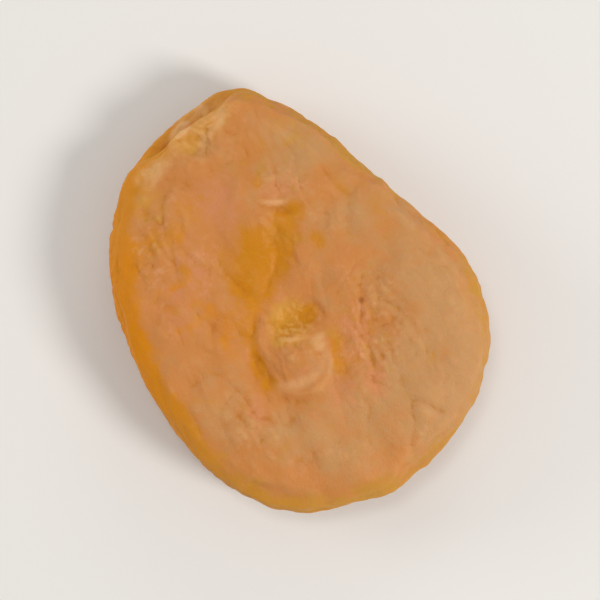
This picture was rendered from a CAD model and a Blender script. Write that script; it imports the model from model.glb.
# Dried apricot: the finished look of the fruit, on a pale floor in soft light

import math

import bmesh
import bpy
import numpy as np
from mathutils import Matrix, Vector


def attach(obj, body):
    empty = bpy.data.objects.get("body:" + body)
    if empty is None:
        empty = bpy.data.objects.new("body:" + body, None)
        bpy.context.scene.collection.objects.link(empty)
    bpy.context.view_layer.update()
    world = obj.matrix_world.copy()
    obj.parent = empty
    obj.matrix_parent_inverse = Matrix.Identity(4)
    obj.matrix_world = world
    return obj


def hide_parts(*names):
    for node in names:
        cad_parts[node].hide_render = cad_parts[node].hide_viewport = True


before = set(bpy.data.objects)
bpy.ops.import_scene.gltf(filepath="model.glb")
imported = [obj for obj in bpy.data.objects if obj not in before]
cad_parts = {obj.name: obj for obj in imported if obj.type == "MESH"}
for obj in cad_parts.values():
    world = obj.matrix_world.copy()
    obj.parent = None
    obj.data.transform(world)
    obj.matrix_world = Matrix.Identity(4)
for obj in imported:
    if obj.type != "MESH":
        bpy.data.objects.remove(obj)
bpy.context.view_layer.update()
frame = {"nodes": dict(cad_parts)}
mm = 0.001
scene = bpy.context.scene
print("frame loaded:", ", ".join(frame["nodes"]))


# Small helpers for node trees

pleatSharpness = 2.2  # how narrow the bottom of a valley is between two pillows


def setInput(tree, socket, value):
    if isinstance(value, bpy.types.NodeSocket):
        tree.links.new(value, socket)
    else:
        socket.default_value = value


def addNode(tree, kind, inputs=None, **settings):
    # inputs: a number or another node's output for each socket, by name or place
    node = tree.nodes.new(kind)
    for name, value in settings.items():
        setattr(node, name, value)
    for key, value in (inputs or {}).items():
        setInput(tree, node.inputs[key], value)
    return node


def maths(tree, operation, first, second=0.0):
    node = addNode(tree, "ShaderNodeMath", {0: first, 1: second}, operation=operation)
    return node.outputs[0]


def sumOf(tree, values):
    total = values[0]
    for value in values[1:]:
        total = maths(tree, "ADD", total, value)
    return total


def productOf(tree, values):
    product = values[0]
    for value in values[1:]:
        product = maths(tree, "MULTIPLY", product, value)
    return product


def vectorMaths(tree, operation, inputs):
    node = addNode(tree, "ShaderNodeVectorMath", inputs, operation=operation)
    return node.outputs["Value" if operation == "DOT_PRODUCT" else "Vector"]


def ramp(tree, value, low, high, toLow=0.0, toHigh=1.0):
    # Smooth step from toLow to toHigh as the value goes from low to high
    node = addNode(
        tree,
        "ShaderNodeMapRange",
        {"Value": value, "From Min": low, "From Max": high, "To Min": toLow, "To Max": toHigh},
        interpolation_type="SMOOTHSTEP",
    )
    return node.outputs["Result"]


def noiseAt(tree, place, size, seed, detail, waver):
    # Noise from -1 to 1 with features about this size, in the place's own unit
    node = addNode(
        tree,
        "ShaderNodeTexNoise",
        {"Vector": place, "W": seed, "Scale": 1 / size, "Detail": detail, "Distortion": waver},
        noise_dimensions="4D",
        normalize=False,
    )
    return node.outputs[0]


def pleatsAt(tree, place, seed, width, detail, waver):
    # Soft pillows with sharper valleys between them: 1 in a valley, 0 on a pillow
    lines = maths(tree, "ABSOLUTE", noiseAt(tree, place, 1.0, seed, detail, waver))
    near = addNode(
        tree,
        "ShaderNodeMapRange",
        {"Value": lines, "From Min": 0.0, "From Max": width, "To Min": 1.0, "To Max": 0.0},
    )
    return maths(tree, "POWER", near.outputs["Result"], pleatSharpness)


# Camera, looking straight down

cameraSettings = {
    "lens": 150.0,
    "sensor": 36.0,
    "nearest": 10 * mm,
    "pictureWidth": 55.2 * mm,  # what the picture takes in at the fruit's height
    "aim": (0.22 * mm, -0.58 * mm, 8.0 * mm),
    "roll": -15.7,  # degrees, so that the stem end leans to the left
}


def makeCamera(settings):
    data = bpy.data.cameras.new("camera")
    data.lens = settings["lens"]
    data.sensor_width = settings["sensor"]
    data.clip_start = settings["nearest"]
    camera = bpy.data.objects.new("camera", data)
    scene.collection.objects.link(camera)
    distance = settings["pictureWidth"] * settings["lens"] / settings["sensor"]
    camera.location = Vector(settings["aim"]) + Vector((0, 0, distance))
    camera.rotation_euler = (0, 0, math.radians(settings["roll"]))
    scene.camera = camera


makeCamera(cameraSettings)
print("camera placed")


# Floor and soft light. A lamp's place is right, up and above, as the picture shows it.

stageSettings = {
    "floorSize": 3.0,
    "floorDrop": 0.02 * mm,  # the floor lies this far under the fruit
    "floorColour": (0.80, 0.79, 0.77, 1),
    "floorRoughness": 0.7,
    "skyColour": (1.0, 0.98, 0.96, 1),
    "skyPower": 0.42,
    "lights": {
        # name: right, up and height of the lamp in metres, its size, power and colour
        "key": ((0.38, -0.18, 0.34), 0.16, 1.60, (1.0, 0.97, 0.93)),
        "top": ((-0.06, 0.10, 0.50), 0.12, 0.34, (1.0, 0.98, 0.96)),
        "left": ((-0.42, 0.12, 0.16), 0.24, 0.60, (1.0, 0.97, 0.93)),
        "far": ((0.10, 0.42, 0.18), 0.24, 0.30, (1.0, 0.97, 0.93)),
    },
}


def makeFloor(settings):
    bpy.ops.mesh.primitive_plane_add(size=settings["floorSize"])
    floor = bpy.context.object
    floor.name = "floor"
    floor.location.z = -settings["floorDrop"]
    paint = bpy.data.materials.new("paleFloor")
    paint.use_nodes = True
    shader = paint.node_tree.nodes["Principled BSDF"]
    shader.inputs["Base Color"].default_value = settings["floorColour"]
    shader.inputs["Roughness"].default_value = settings["floorRoughness"]
    floor.data.materials.append(paint)


def makeSky(settings):
    world = bpy.data.worlds.new("softRoom")
    world.use_nodes = True
    sky = world.node_tree.nodes["Background"]
    sky.inputs["Color"].default_value = settings["skyColour"]
    sky.inputs["Strength"].default_value = settings["skyPower"]
    scene.world = world


def makeLamp(name, place, size, power, colour, roll):
    data = bpy.data.lights.new(name, "AREA")
    data.shape = "DISK"
    data.size = size
    data.energy = power
    data.color = colour
    lamp = bpy.data.objects.new(name, data)
    scene.collection.objects.link(lamp)
    right, up, height = place
    turn = math.radians(roll)
    x = right * math.cos(turn) - up * math.sin(turn)
    y = right * math.sin(turn) + up * math.cos(turn)
    lamp.location = (x, y, height)
    lamp.rotation_euler = (-lamp.location).to_track_quat("-Z", "Y").to_euler()


makeFloor(stageSettings)
makeSky(stageSettings)
for lampName, lampValues in stageSettings["lights"].items():
    makeLamp(lampName, *lampValues, cameraSettings["roll"])
scene.view_settings.view_transform = "Standard"
scene.view_settings.look = "None"
print("floor, sky and", len(stageSettings["lights"]), "lamps placed")


# The fruit. Places on it are in mm, x to the seam side and y to the stem end.

fruitSettings = {
    "node": "dried_apricot",
    "body": "root",
    "slot": "apricot_skin",
    "mergeDistance": 0.001 * mm,
    "joinAngle": 50,  # degrees that two triangles may bend and still make a square
    "smoothing": 2,
    # Sharp creases: start, end, sideways bow, half width, depth. A minus depth stands up.
    "creases": [
        ((-4.3, -0.4), (-4.2, -8.0), -1.4, 0.50, -0.25),
        ((2.2, -3.2), (1.6, -8.8), 0.9, 0.50, -0.15),
        ((-4.0, -8.2), (1.8, -5.8), -1.9, 0.45, -0.16),
        ((-2.6, -3.5), (-0.6, -4.0), 0.0, 0.24, -0.12),
        ((-3.0, -5.3), (-1.7, -6.7), 0.2, 0.28, 0.08),
        ((0.2, -5.2), (0.9, -6.9), 0.2, 0.28, 0.08),
        ((-3.4, -0.6), (-2.6, -3.0), 0.3, 0.30, 0.14),
        ((0.9, -1.0), (1.9, -2.8), 0.3, 0.34, 0.16),
        ((-1.0, 9.2), (1.7, 8.5), -0.2, 0.24, -0.15),
        ((0.2, 8.2), (2.4, 7.5), -0.3, 0.40, 0.16),
        ((0.6, 11.6), (2.0, 10.4), 0.3, 0.28, 0.12),
        ((-0.6, 6.6), (-2.6, 1.2), 0.9, 0.30, 0.10),
        ((1.4, 6.2), (1.0, 1.0), -0.5, 0.30, 0.10),
        ((-8.0, 16.4), (-3.4, 15.0), 0.9, 0.26, 0.18),
        ((-3.4, 15.2), (-1.6, 18.6), 0.7, 0.26, 0.12),
        ((-6.4, 17.8), (-4.6, 16.0), 0.3, 0.26, 0.20),
        ((4.0, -3.6), (4.6, -9.6), 0.8, 0.28, 0.16),
        ((5.6, -4.4), (7.2, -8.8), -0.7, 0.28, 0.15),
        ((6.8, -2.4), (9.6, -7.0), 0.9, 0.28, 0.12),
        ((-12.8, 10.4), (-12.0, 5.6), 0.6, 0.30, 0.13),
        ((-10.8, 9.8), (-9.6, 5.2), -0.5, 0.28, 0.13),
        ((-8.8, -8.6), (-7.4, -12.4), 0.5, 0.30, 0.12),
        ((-6.6, -9.4), (-5.8, -13.4), -0.5, 0.28, 0.11),
    ],
    # Pale lines: start, end, sideways bow, half width, strength
    "paleLines": [
        ((-1.0, 9.2), (1.7, 8.5), -0.2, 0.30, 1.00),
        ((-2.2, 18.5), (-4.6, 15.6), 0.2, 0.50, 0.50),
        ((-4.5, -7.4), (0.6, -7.2), -0.65, 0.65, 0.80),
        ((0.0, -7.4), (1.3, -4.6), -0.45, 0.65, 0.55),
        ((-2.6, -3.5), (-0.6, -4.0), 0.0, 0.30, 0.70),
    ],
    # Patches of skin that look different: middle, half axes, turn in degrees, strength
    "patches": {
        "amber": [
            ((2.2, 7.4), (1.1, 1.2), 0, 0.85),
            ((0.2, 6.3), (2.2, 1.5), 30, 0.85),
            ((-1.8, 4.8), (3.4, 2.9), 40, 1.15),
            ((-3.6, 2.2), (2.3, 2.7), 20, 0.95),
            ((-5.0, 0.0), (1.5, 1.5), 0, 0.75),
            ((-4.9, -2.6), (0.8, 1.8), 0, 0.75),
            ((-5.2, -5.0), (0.8, 2.0), 8, 0.90),
            ((-4.6, -7.1), (0.8, 0.7), 0, 0.90),
            ((-0.8, 10.9), (0.8, 0.8), 0, 0.75),
            ((3.3, 4.3), (1.0, 1.1), 0, 0.60),
            ((0.3, -2.0), (1.3, 0.8), 20, 1.00),
            ((2.1, -6.3), (0.8, 2.2), 0, 0.75),
            ((-11.1, 11.4), (0.8, 1.1), -20, 0.60),
            ((-11.2, 8.3), (0.8, 1.3), -20, 0.60),
            ((-9.1, 5.2), (0.7, 1.3), -12, 0.60),
            ((-5.2, 15.8), (0.9, 0.6), 30, 0.60),
            ((8.4, 6.6), (8.0, 2.0), -56, 0.36),
            ((1.0, 13.8), (4.0, 3.2), -15, 0.26),
        ],
        "yellow": [
            ((-1.4, -1.7), (1.9, 1.6), 30, 1.00),
            ((-2.6, -3.3), (0.9, 1.2), 0, 0.70),
            ((-5.5, 16.0), (1.2, 0.9), 25, 1.10),
            ((-11.4, 12.2), (1.6, 2.6), 40, 0.60),
            ((3.4, 14.6), (1.6, 3.0), 35, 0.40),
        ],
        "rosy": [
            ((-8.4, 5.2), (1.6, 3.2), 5, 0.80),
            ((-10.4, 1.6), (1.8, 3.0), 0, 0.60),
            ((-4.2, 10.2), (2.2, 2.6), 0, 0.80),
            ((1.2, 9.9), (1.8, 1.3), -15, 0.70),
            ((2.0, -9.6), (2.0, 2.0), 0, 0.55),
            ((4.8, -9.4), (1.2, 1.8), 0, 0.80),
            ((4.6, -4.6), (1.6, 2.2), 0, 0.75),
            ((-6.6, -9.8), (1.4, 2.0), 0, 0.60),
            ((-0.8, -7.0), (1.6, 0.9), 10, 0.55),
        ],
        "cream": [
            ((-6.2, 17.7), (1.2, 0.8), 25, 1.30),
            ((-3.9, 19.0), (0.9, 0.8), 20, 0.70),
            ((-2.4, 17.8), (0.7, 1.5), -20, 0.75),
            ((1.4, 10.8), (1.0, 0.9), 0, 0.40),
            ((0.9, -4.6), (1.0, 1.2), 0, 0.72),
            ((-7.8, -10.3), (0.8, 1.7), -20, 0.30),
            ((-9.6, 14.6), (2.7, 1.5), 22, 0.66),
            ((-4.5, 15.9), (0.7, 0.9), -20, 0.70),
            ((13.6, -5.2), (1.2, 3.4), -8, 0.35),
        ],
        "beige": [
            ((11.4, -10.0), (6.5, 9.0), -35, 0.95),
            ((13.0, -1.0), (3.6, 6.0), 10, 0.70),
            ((6.0, 3.0), (4.5, 6.5), 25, 0.35),
            ((-9.0, -8.0), (3.0, 5.0), 25, 0.35),
            ((1.0, -13.0), (8.0, 4.6), 0, 0.65),
            ((3.6, 12.6), (4.4, 5.6), 25, 0.48),
            ((9.5, 4.6), (5.4, 4.2), -30, 0.65),
        ],
        "crumpled": [
            ((5.6, -5.4), (3.8, 5.2), -8, 1.00),
            ((6.4, -1.0), (2.8, 2.4), 0, 0.70),
            ((-11.6, 7.4), (2.6, 4.4), -15, 0.90),
            ((-7.2, 4.8), (2.4, 3.2), 0, 0.55),
            ((1.8, 10.6), (2.6, 2.2), -15, 0.80),
            ((4.6, 6.4), (2.6, 3.6), 10, 0.45),
            ((-7.6, -10.4), (2.4, 4.0), 25, 0.70),
            ((0.2, -15.0), (6.0, 1.6), 0, 0.50),
            ((-5.0, 17.4), (4.0, 2.0), 22, 1.00),
            ((-0.8, -3.6), (3.0, 3.6), 0, 0.80),
        ],
        "speck": [((5.6, -2.1), (0.30, 0.30), 0, 1.00)],
        "pitLumps": [((-1.1, -2.5), (2.5, 1.9), 15, 1.00)],
    },
    "torn": [((-4.6, 17.5), (3.9, 2.1), 22, 1.00)],
    # How far the skin faces up where a mark starts and where it is whole
    "topFacing": (0.05, 0.55),
    "tornFacing": (0.25, 0.60),
    "underFacing": (-0.10, -0.60),
    # The same for the sides, and how far out they are, as a share of the outline
    "sideFacing": (0.90, 0.40),
    "sideOut": (0.80, 0.92),
    "ringOut": (0.78, 0.98),
    "calmOut": (0.82, 0.97),
    "calming": 0.45,  # how much lower the top's wrinkles are on the sides
    # Bare amber band along the side, widest and deepest on the left
    "band": {"out": 0.91, "width": 0.11, "wider": 0.10, "turn": 8, "deepening": 3},
    # How pleats lie: lengthwise, out from the pucker, round the rim and down the sides
    "lengthwise": {"turn": 14, "stretch": 2.4},
    "radial": {
        "middle": (-1.4, -4.5),
        "around": 2.2,
        "length": 7,
        "starts": (3.5, 7.5),  # distances from the middle: none, whole
        "fades": (15, 8),
    },
    "sideRadius": 17,  # mm, for how far down the side a point lies
    "ring": {"around": 3.2, "length": 2.6},
    # Slant and sway are waves round the fruit: height, how many, start
    "cross": {"around": 4.6, "length": 12, "slant": (0.30, 3, 0.7), "sway": (0.10, 4, 2.0)},
    # Valleys between pleats: seed, width, detail, waver
    "pleats": {
        "folds": (0.0, 0.4, 0.5, 0.3),
        "radial": (5.0, 0.4, 0.5, 0.3),
        "ring": (9.0, 0.4, 0.5, 0.3),
        "crinkles": (11.0, 0.55, 0.5, 0.3),
        "cross": (15.0, 0.6, 1.5, 0.3),
        "torn": (51.0, 0.6, 1.0, 0.3),
        "pitLumps": (71.0, 0.5, 0.5, 0.3),
        "kinks": (81.0, 0.5, 0.5, 0.6),
    },
    # Soft swellings: seed, detail, waver
    "swells": {
        "swell": (23.0, 1.0, 0.0),
        "grain": (37.0, 1.0, 0.0),
        "sideLumps": (61.0, 0.0, 0.3),
    },
    # Where wrinkles are deep: size of a patch in mm, seed, from, to, least
    "wrinkled": {
        "folds": (6.5, 3.0, -0.30, 0.40, 0.15),
        "crinkles": (5.0, 4.0, -0.25, 0.45, 0.0),
    },
    "leastCross": 0.6,
    "lumpLift": {"torn": 0.6, "pitLumps": 0.5},
    # All-over wrinkles, for the Geometry Nodes tree (mm)
    "wrinkles": {
        "Fold Spacing": 3.0,
        "Fold Depth": 0.20,
        "Pleat Depth": 0.13,
        "Rim Pleat Depth": 0.09,
        "Side Pleat Depth": 0.26,
        "Crinkle Spacing": 1.00,
        "Crinkle Depth": 0.11,
        "Kink Size": 0.85,
        "Kink Depth": 0.10,
        "Side Kinks": 1.9,  # how many times as deep on the sides
        "Swell Size": 2.2,
        "Swell Height": 0.06,
        "Grain Size": 0.50,
        "Grain Height": 0.014,
        "Side Lump Size": 5.0,
        "Side Lump Height": 0.22,
        "Torn Lump Size": 1.6,
        "Torn Lump Height": 0.26,
        "Pit Lump Size": 1.05,
        "Pit Lump Height": 0.11,
    },
    "seed": 7.0,
    "easing": 1,  # times that the sides are smoothed after wrinkling
    # How widely the skin is smoothed to find out how deep a point lies in it
    "hollows": {"crevice": 6, "valley": 70},
}

spotPower = 1.5  # a higher power gives an oval a sharper edge
creaseEnd = 0.06  # share of the half sine wave that is left out at each end of a crease
creasePower = 0.7  # a lower power keeps a crease deep nearer to its ends
outlineSectors = 120  # directions in which the outline is measured


def squareCopy(node, settings):
    # The solid's mesh, merged and turned from triangles back to squares
    shell = bmesh.new()
    shell.from_mesh(node.data)
    bmesh.ops.remove_doubles(shell, verts=shell.verts, dist=settings["mergeDistance"])
    bend = math.radians(settings["joinAngle"])
    bmesh.ops.join_triangles(
        shell, faces=shell.faces, angle_face_threshold=bend, angle_shape_threshold=bend
    )
    bmesh.ops.recalc_face_normals(shell, faces=shell.faces)
    mesh = bpy.data.meshes.new("apricotSquares")
    shell.to_mesh(mesh)
    shell.free()
    return mesh


def applied(item):
    graph = bpy.context.evaluated_depsgraph_get()
    return bpy.data.meshes.new_from_object(item.evaluated_get(graph))


def smoothCopy(node, settings):
    rough = bpy.data.objects.new("apricotRough", squareCopy(node, settings))
    scene.collection.objects.link(rough)
    finer = rough.modifiers.new("finer", "SUBSURF")
    finer.levels = finer.render_levels = settings["smoothing"]
    mesh = applied(rough)
    bpy.data.objects.remove(rough)
    return mesh


def pointsOf(mesh):
    flat = np.zeros(len(mesh.vertices) * 3, np.float32)
    mesh.vertices.foreach_get("co", flat)
    return flat.reshape(-1, 3) / mm


def normalsOf(mesh):
    flat = np.zeros(len(mesh.vertices) * 3, np.float32)
    mesh.vertex_normals.foreach_get("vector", flat)
    return flat.reshape(-1, 3)


def between(value, start, end):
    # 0 as far as the start, 1 from the end on
    return np.clip((value - start) / (end - start), 0, 1)


def spotAt(x, y, middle, halfAxes, turn):
    # 1 in the middle of an oval, falling to 0 round its edge
    angle = math.radians(turn)
    dx, dy = x - middle[0], y - middle[1]
    u = (dx * math.cos(angle) + dy * math.sin(angle)) / halfAxes[0]
    v = (dy * math.cos(angle) - dx * math.sin(angle)) / halfAxes[1]
    return np.exp(-((u * u + v * v) ** spotPower))


def creaseAt(x, y, start, end, bow, halfWidth):
    # 1 on a bowed line, falling to 0 beside it and towards its ends
    start, end = np.array(start), np.array(end)
    along = end - start
    length = np.hypot(*along)
    along = along / length
    dx, dy = x - start[0], y - start[1]
    place = (dx * along[0] + dy * along[1]) / length
    inside = np.clip(place, 0, 1)
    lift = 4 * bow * inside * (1 - inside)
    off = dy * along[0] - dx * along[1] - lift
    past = (place - inside) * length
    fade = np.sin(np.pi * (creaseEnd + (1 - 2 * creaseEnd) * inside)) ** creasePower
    return np.exp(-(off**2 + past**2) / halfWidth**2) * fade


def strongest(x, y, spots):
    best = np.zeros_like(x)
    for middle, halfAxes, turn, strength in spots:
        best = np.maximum(best, strength * spotAt(x, y, middle, halfAxes, turn))
    return best


def outlineShare(x, y):
    # Distance from the middle as a share of the outline's in the same direction
    azimuth = np.arctan2(y, x)
    radius = np.hypot(x, y)
    sector = ((azimuth + np.pi) / (2 * np.pi) * outlineSectors).astype(int) % outlineSectors
    reach = np.zeros(outlineSectors)
    np.maximum.at(reach, sector, radius)
    middles = (np.arange(outlineSectors) + 0.5) / outlineSectors * 2 * np.pi - np.pi
    return radius / np.interp(azimuth, middles, reach, period=2 * np.pi)


def roundPlace(azimuth, around, other):
    # A place for noise that meets itself after one turn
    return np.stack([np.cos(azimuth) * around, np.sin(azimuth) * around, other], 1)


def writeAttribute(mesh, name, values):
    kind, key = ("FLOAT", "value") if values.ndim == 1 else ("FLOAT_VECTOR", "vector")
    layer = mesh.attributes.new(name, kind, "POINT")
    layer.data.foreach_set(key, np.ascontiguousarray(values, np.float32).ravel())


def markPatches(mesh, settings, x, y, up):
    # Creases, pale lines and the patches of skin that look different
    onTop = between(up, *settings["topFacing"])
    fold = np.zeros_like(x)
    for start, end, bow, halfWidth, depth in settings["creases"]:
        fold -= depth * creaseAt(x, y, start, end, bow, halfWidth)
    writeAttribute(mesh, "fold", fold * onTop)
    pale = np.zeros_like(x)
    for start, end, bow, halfWidth, strength in settings["paleLines"]:
        pale = np.maximum(pale, strength * creaseAt(x, y, start, end, bow, halfWidth))
    writeAttribute(mesh, "pale", pale * onTop)
    for name, spots in settings["patches"].items():
        writeAttribute(mesh, name, strongest(x, y, spots) * onTop)
    tornUp = between(up, *settings["tornFacing"])
    writeAttribute(mesh, "torn", strongest(x, y, settings["torn"]) * tornUp)


def markTopPleats(mesh, settings, x, y, z, up):
    # Places in which the top's pleats run lengthwise, and out from the pucker
    lengthwise = settings["lengthwise"]
    turn = math.radians(lengthwise["turn"])
    across = x * math.cos(turn) + y * math.sin(turn)
    along = y * math.cos(turn) - x * math.sin(turn)
    place = np.stack([across, along / lengthwise["stretch"], z], 1)
    writeAttribute(mesh, "longPlace", place)

    radial = settings["radial"]
    dx, dy = x - radial["middle"][0], y - radial["middle"][1]
    distance = np.hypot(dx, dy)
    place = roundPlace(np.arctan2(dy, dx), radial["around"], distance / radial["length"])
    writeAttribute(mesh, "radialPlace", place)
    share = between(distance, *radial["starts"]) * between(distance, *radial["fades"])
    writeAttribute(mesh, "radialShare", share * between(up, *settings["topFacing"]))


def markSides(mesh, settings, x, y, z, up):
    # Where the sides and their amber band are, and places in which their pleats run
    share = outlineShare(x, y)
    azimuth = np.arctan2(y, x)
    steep = between(np.abs(up), *settings["sideFacing"])
    writeAttribute(mesh, "sideShare", steep * between(share, *settings["sideOut"]))
    writeAttribute(mesh, "ringShare", between(share, *settings["ringOut"]))
    calm = 1 - settings["calming"] * between(share, *settings["calmOut"])
    writeAttribute(mesh, "calm", calm)
    writeAttribute(mesh, "under", between(up, *settings["underFacing"]))

    band = settings["band"]
    leftward = 0.5 - 0.5 * np.cos(azimuth + math.radians(band["turn"]))
    out = band["out"] - band["wider"] * leftward
    writeAttribute(mesh, "band", between(share, out, out + band["width"]))
    writeAttribute(mesh, "deepSide", leftward ** band["deepening"])

    middle = z.max() / 2
    down = np.arctan2(share, (z - middle) / middle) * settings["sideRadius"]
    ring = settings["ring"]
    place = roundPlace(azimuth, ring["around"], down / ring["length"])
    writeAttribute(mesh, "ringPlace", place)
    # The pleats down the side slant to and fro and stand closer in some places
    cross = settings["cross"]
    slant, slantWaves, slantStart = cross["slant"]
    sway, swayWaves, swayStart = cross["sway"]
    slanted = azimuth + sway * np.sin(swayWaves * azimuth + swayStart)
    slanted += slant * (z / z.max() - 0.5) * np.sin(slantWaves * azimuth + slantStart)
    place = roundPlace(slanted, cross["around"], down / cross["length"])
    writeAttribute(mesh, "crossPlace", place)


def storedField(tree, name, kind="FLOAT"):
    node = addNode(tree, "GeometryNodeInputNamedAttribute", {"Name": name}, data_type=kind)
    return node.outputs[0]


def skinHeight(tree, given, settings, place):
    # How many mm each point rises, from all the pleats, crinkles and lumps
    def seeded(offset):
        return maths(tree, "ADD", given["Seed"], offset)

    def sized(at, sizeName):
        return vectorMaths(tree, "DIVIDE", {0: at, 1: given[sizeName]})

    def pleated(name, at):
        seed, width, detail, waver = settings["pleats"][name]
        return pleatsAt(tree, at, seeded(seed), width, detail, waver)

    def pleatedAlong(name):
        return pleated(name, storedField(tree, name + "Place", "FLOAT_VECTOR"))

    def swelling(name, inputName):
        seed, detail, waver = settings["swells"][name]
        at = sized(place, inputName + " Size")
        noise = noiseAt(tree, at, 1.0, seeded(seed), detail, waver)
        return productOf(tree, [noise, given[inputName + " Height"]])

    def lumpy(name, inputName):
        valleys = pleated(name, sized(place, inputName + " Size"))
        lumps = maths(tree, "SUBTRACT", settings["lumpLift"][name], valleys)
        return productOf(tree, [lumps, storedField(tree, name), given[inputName + " Height"]])

    crumpled = storedField(tree, "crumpled")
    sideShare = storedField(tree, "sideShare")

    def wrinkled(name):
        size, seed, low, high, least = settings["wrinkled"][name]
        noise = noiseAt(tree, place, size, seeded(seed), 1.0, 0.0)
        return maths(tree, "MAXIMUM", ramp(tree, noise, low, high, least), crumpled)

    lengthwise = storedField(tree, "longPlace", "FLOAT_VECTOR")
    folded, crinkled = wrinkled("folds"), wrinkled("crinkles")
    folds = pleated("folds", sized(lengthwise, "Fold Spacing"))
    crinkles = pleated("crinkles", sized(lengthwise, "Crinkle Spacing"))
    kinks = pleated("kinks", sized(place, "Kink Size"))
    sideKinks = productOf(tree, [sideShare, given["Side Kinks"]])
    kinked = maths(tree, "MAXIMUM", crumpled, sideKinks)
    radialShare = storedField(tree, "radialShare")
    ringShare = storedField(tree, "ringShare")
    sunk = [
        productOf(tree, [folds, folded, given["Fold Depth"]]),
        productOf(tree, [crinkles, crinkled, given["Crinkle Depth"]]),
        productOf(tree, [kinks, kinked, given["Kink Depth"]]),
        productOf(tree, [pleatedAlong("radial"), radialShare, given["Pleat Depth"]]),
        productOf(tree, [pleatedAlong("ring"), crinkled, ringShare, given["Rim Pleat Depth"]]),
    ]
    raised = [
        swelling("swell", "Swell"),
        swelling("grain", "Grain"),
        storedField(tree, "fold"),
        lumpy("torn", "Torn Lump"),
        lumpy("pitLumps", "Pit Lump"),
    ]
    height = maths(tree, "SUBTRACT", sumOf(tree, raised), sumOf(tree, sunk))
    height = productOf(tree, [height, storedField(tree, "calm")])

    crossed = maths(tree, "MAXIMUM", folded, settings["leastCross"])
    cross = productOf(tree, [pleatedAlong("cross"), crossed, given["Side Pleat Depth"]])
    side = maths(tree, "SUBTRACT", swelling("sideLumps", "Side Lump"), cross)
    return maths(tree, "ADD", height, productOf(tree, [side, sideShare]))


def moved(tree, geometry, inputName, value):
    inputs = {"Geometry": geometry, inputName: value}
    return addNode(tree, "GeometryNodeSetPosition", inputs).outputs[0]


def smoothed(tree, value, times, weight=1.0):
    node = addNode(
        tree,
        "GeometryNodeBlurAttribute",
        {"Value": value, "Iterations": times, "Weight": weight},
        data_type="FLOAT_VECTOR",
    )
    return node.outputs[0]


def wrinkleTree(settings):
    # Sinks pleats and crinkles into the skin, and stores how hollow each point lies
    tree = bpy.data.node_groups.new("skinWrinkles", "GeometryNodeTree")
    face = tree.interface
    face.new_socket("Geometry", in_out="INPUT", socket_type="NodeSocketGeometry")
    for name in settings["wrinkles"]:
        face.new_socket(name, in_out="INPUT", socket_type="NodeSocketFloat")
    face.new_socket("Seed", in_out="INPUT", socket_type="NodeSocketFloat")
    face.new_socket("Skin", in_out="INPUT", socket_type="NodeSocketMaterial")
    face.new_socket("Geometry", in_out="OUTPUT", socket_type="NodeSocketGeometry")
    given = tree.nodes.new("NodeGroupInput").outputs
    position = tree.nodes.new("GeometryNodeInputPosition").outputs[0]
    normal = tree.nodes.new("GeometryNodeInputNormal").outputs[0]

    place = vectorMaths(tree, "SCALE", {0: position, "Scale": 1 / mm})
    height = productOf(tree, [skinHeight(tree, given, settings, place), mm])
    offset = vectorMaths(tree, "SCALE", {0: normal, "Scale": height})
    last = moved(tree, given["Geometry"], "Offset", offset)
    # Opens the tightest folds of the sides a little, so that hardly any face turns over
    eased = smoothed(tree, position, settings["easing"], storedField(tree, "sideShare"))
    last = moved(tree, last, "Position", eased)
    # Nothing reaches below the surface that the fruit lies on
    parts = addNode(tree, "ShaderNodeSeparateXYZ", {0: position}).outputs
    above = maths(tree, "MAXIMUM", parts[2], 0.0)
    rested = addNode(tree, "ShaderNodeCombineXYZ", {0: parts[0], 1: parts[1], 2: above})
    last = moved(tree, last, "Position", rested.outputs[0])

    for name, times in settings["hollows"].items():
        around = smoothed(tree, position, times)
        rise = vectorMaths(tree, "SUBTRACT", {0: around, 1: position})
        depth = vectorMaths(tree, "DOT_PRODUCT", {0: rise, 1: normal})
        last = addNode(
            tree,
            "GeometryNodeStoreNamedAttribute",
            {"Geometry": last, "Name": name, "Value": maths(tree, "DIVIDE", depth, mm)},
            data_type="FLOAT",
            domain="POINT",
        ).outputs[0]
    smooth = addNode(tree, "GeometryNodeSetShadeSmooth", {"Geometry": last})
    real = addNode(tree, "GeometryNodeRealizeInstances", {"Geometry": smooth.outputs[0]})
    coated = addNode(
        tree,
        "GeometryNodeSetMaterial",
        {"Geometry": real.outputs[0], "Material": given["Skin"]},
    )
    addNode(tree, "NodeGroupOutput", {"Geometry": coated.outputs[0]})
    return tree


# The skin, in coats. Each coat follows fields: what the fruit's mesh stores, and noises.

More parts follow.
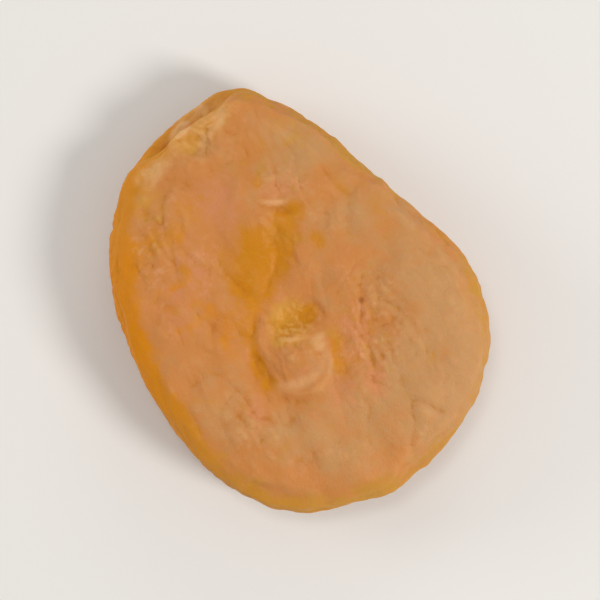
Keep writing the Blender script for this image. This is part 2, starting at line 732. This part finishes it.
skinSettings = {
    "colours": {
        "pink": (0.598, 0.237, 0.062, 1),
        "rosy": (0.618, 0.246, 0.096, 1),
        "beige": (0.555, 0.285, 0.110, 1),
        "amber": (0.590, 0.222, 0.007, 1),
        "yellow": (0.620, 0.325, 0.050, 1),
        "side": (0.545, 0.262, 0.040, 1),
        "deepSide": (0.670, 0.232, 0.002, 1),
        "deep": (0.490, 0.155, 0.008, 1),
        "cream": (0.735, 0.425, 0.180, 1),
        "pale": (0.720, 0.375, 0.160, 1),
        "torn": (0.675, 0.350, 0.108, 1),
        "tornDeep": (0.590, 0.265, 0.045, 1),
        "pitTop": (0.720, 0.370, 0.085, 1),
        "pitDeep": (0.630, 0.262, 0.014, 1),
        "speck": (0.340, 0.105, 0.022, 1),
    },
    # Colours that deepen from the edges of the crevices to their bottoms: from, to
    "crevices": {
        "pit": ("pitTop", "pitDeep", -0.03, 0.03),
        "flesh": ("torn", "tornDeep", -0.10, 0.10),
    },
    "stored": [
        "amber", "yellow", "rosy", "cream", "beige", "crumpled", "pale", "speck",
        "torn", "pitLumps", "band", "under", "deepSide", "crevice", "valley",
    ],
    # Noises: size in mm, seed, detail, waver
    "noises": {
        "blotch": (4.5, 1.0, 3.0, 0.0),
        "mottle": (1.3, 2.0, 3.0, 0.4),
        "fleck": (0.45, 3.0, 2.0, 0.0),
        "pores": (0.28, 5.0, 3.0, 0.0),
        "veins": (0.60, 6.0, 2.0, 0.3),
        "sidePatches": (3.4, 8.0, 2.0, 0.4),
        "speckle": (0.9, 9.0, 2.0, 0.5),
    },
    "leastSpeckle": 0.4,  # on skin that isn't crumpled
    "underAmber": (0.9, 0.2),  # in patches and evenly
    # Masks that fall from 1 to their least: field, from, to, least
    "masks": {
        "offYellow": ("yellow", 0.1, 0.9, 0.3),
        "offBand": ("band", 0.0, 0.8, 0.15),
    },
    # Coats over the pink: colour, fields with their weights, from, to, most, mask
    "coats": [
        # Skin
        ("beige", {"beige": 1, "blotch": 0.45, "mottle": 0.4}, -0.1, 0.9, 1.0, None),
        ("rosy", {"rosy": 1, "blotch": -0.35, "speckle": 0.8}, 0.05, 0.85, 1.0, None),
        ("yellow", {"yellow": 1, "speckle": -0.8}, 0.10, 1.00, 0.80, None),
        # Flesh that shows through in patches, in the hollows and on the sides
        (
            "amber",
            {"amber": 1, "mottle": 0.35, "blotch": -0.2, "valley": 0.9, "yellow": -0.5, "below": 1},
            0.10,
            0.95,
            1.0,
            None,
        ),
        (
            "bareSide",
            {"band": 1, "mottle": 0.35, "sidePatches": 0.65, "deepSide": 0.20},
            0.22,
            1.02,
            1.0,
            None,
        ),
        ("deep", {"valley": 1}, 0.16, 0.50, 0.80, "band"),
        # Darker in the creases, paler on their edges, then speckled both ways
        ("deep", {"crevice": 1}, 0.010, 0.095, 0.52, "offYellow"),
        ("cream", {"crevice": -1, "fleck": 0.01}, 0.0, 0.10, 0.25, "offBand"),
        ("cream", {"speckle": 1}, 0.08, 0.60, 0.22, None),
        ("deep", {"speckle": -1}, 0.08, 0.60, 0.20, None),
        # Golden lumps in the pit, torn flesh at the stem end, pale spots and lines
        ("pit", {"pitLumps": 1, "speckle": 0.3}, 0.10, 1.00, 0.60, None),
        ("flesh", {"torn": 1, "mottle": 0.35, "fleck": 0.1}, 0.05, 1.00, 0.85, None),
        ("cream", {"cream": 1, "mottle": 0.22, "fleck": 0.08}, 0.22, 0.95, 0.85, None),
        ("pale", {"pale": 1, "speckle": 0.25}, 0.10, 1.00, 0.85, None),
    ],
    "speckShare": 0.9,
    # Roughness from the edges of the crevices to their bottoms: from, to, rough, rougher
    "roughness": (-0.03, 0.05, 0.53, 0.60),
    "rougher": {"mottle": 0.10, "amber": -0.12},
    "specular": 0.16,
    "refraction": 1.45,
    "glow": 0.24,
    "glowReach": (1.0, 0.34, 0.10),
    "glowScale": 1.4 * mm,
    # Pores and the finest wrinkles
    "poreShare": 0.6,
    "veins": (0.0, 0.3, 0.6),  # from, to, height beside a vein
    "bumpStrength": 0.5,
    "bumpDepth": 0.05 * mm,
}


def weighed(tree, fields, weights):
    # The fields' sum, each times its weight
    parts = []
    for name, weight in weights.items():
        parts.append(fields[name] if weight == 1 else productOf(tree, [fields[name], weight]))
    return sumOf(tree, parts)


def mixed(tree, share, first, second):
    # The colours are inputs 6 and 7 and output 2, after the node's numbers and vectors
    node = addNode(tree, "ShaderNodeMix", {"Factor": share}, data_type="RGBA", clamp_factor=True)
    setInput(tree, node.inputs[6], first)
    setInput(tree, node.inputs[7], second)
    return node.outputs[2]


def skinFields(tree, settings):
    # Everything that the coats follow, by name
    place = tree.nodes.new("ShaderNodeTexCoord").outputs["Object"]
    place = vectorMaths(tree, "SCALE", {0: place, "Scale": 1 / mm})
    fields = {}
    for name in settings["stored"]:
        fields[name] = addNode(tree, "ShaderNodeAttribute", attribute_name=name).outputs["Fac"]
    for name, values in settings["noises"].items():
        fields[name] = noiseAt(tree, place, *values)
    fields["veins"] = maths(tree, "ABSOLUTE", fields["veins"])
    lively = ramp(tree, fields["crumpled"], 0.0, 1.0, settings["leastSpeckle"])
    fields["speckle"] = productOf(tree, [fields["speckle"], lively])
    inPatches, evenly = settings["underAmber"]
    below = productOf(tree, [fields["sidePatches"], inPatches])
    below = maths(tree, "ADD", below, evenly)
    fields["below"] = productOf(tree, [fields["under"], below])
    for name, (field, low, high, least) in settings["masks"].items():
        fields[name] = ramp(tree, fields[field], low, high, 1.0, least)
    return fields


def skinColour(tree, fields, settings):
    colours = dict(settings["colours"])
    colours["bareSide"] = mixed(tree, fields["deepSide"], colours["side"], colours["deepSide"])
    for name, (first, second, low, high) in settings["crevices"].items():
        share = ramp(tree, fields["crevice"], low, high)
        colours[name] = mixed(tree, share, colours[first], colours[second])
    colour = colours["pink"]
    for name, weights, low, high, most, mask in settings["coats"]:
        share = ramp(tree, weighed(tree, fields, weights), low, high, 0.0, most)
        if mask:
            share = productOf(tree, [share, fields[mask]])
        colour = mixed(tree, share, colour, colours[name])
    speck = productOf(tree, [fields["speck"], settings["speckShare"]])
    return mixed(tree, speck, colour, colours["speck"])


def skinBump(tree, fields, settings):
    low, high, height = settings["veins"]
    veins = ramp(tree, fields["veins"], low, high, 0.0, height)
    pores = productOf(tree, [fields["pores"], settings["poreShare"]])
    inputs = {
        "Strength": settings["bumpStrength"],
        "Distance": settings["bumpDepth"],
        "Height": maths(tree, "ADD", pores, veins),
    }
    return addNode(tree, "ShaderNodeBump", inputs).outputs[0]


def skinMaterial(settings):
    skin = bpy.data.materials.new("apricotSkin")
    skin.use_nodes = True
    tree = skin.node_tree
    fields = skinFields(tree, settings)
    roughness = sumOf(
        tree,
        [
            weighed(tree, fields, settings["rougher"]),
            ramp(tree, fields["crevice"], *settings["roughness"]),
        ],
    )
    values = {
        "Base Color": skinColour(tree, fields, settings),
        "Roughness": roughness,
        "Normal": skinBump(tree, fields, settings),
        "Specular IOR Level": settings["specular"],
        "IOR": settings["refraction"],
        "Subsurface Weight": settings["glow"],
        "Subsurface Radius": settings["glowReach"],
        "Subsurface Scale": settings["glowScale"],
    }
    shader = tree.nodes["Principled BSDF"]
    for name, value in values.items():
        setInput(tree, shader.inputs[name], value)
    return skin


def makeFruit(settings, skin):
    mesh = smoothCopy(frame["nodes"][settings["node"]], settings)
    x, y, z = pointsOf(mesh).T.astype(float)
    up = normalsOf(mesh)[:, 2].astype(float)
    markPatches(mesh, settings, x, y, up)
    markTopPleats(mesh, settings, x, y, z, up)
    markSides(mesh, settings, x, y, z, up)
    print("fruit smoothed and marked:", len(mesh.vertices), "points")

    plain = bpy.data.objects.new("apricotPlain", mesh)
    scene.collection.objects.link(plain)
    tree = wrinkleTree(settings)
    wrinkles = plain.modifiers.new("wrinkles", "NODES")
    wrinkles.node_group = tree
    values = dict(settings["wrinkles"], Seed=settings["seed"], Skin=skin)
    for socket in tree.interface.items_tree:
        if socket.name in values:
            wrinkles[socket.identifier] = values[socket.name]
    finished = applied(plain)
    bpy.data.objects.remove(plain)

    fruit = bpy.data.objects.new("apricot_fruit", finished)
    scene.collection.objects.link(fruit)
    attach(fruit, settings["body"])
    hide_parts(settings["node"])
    return fruit


apricotSkin = skinMaterial(skinSettings)
print("skin mixed:", len(skinSettings["coats"]), "coats")
fruit = makeFruit(fruitSettings, apricotSkin)
print("fruit finished:", len(fruit.data.polygons), "faces")
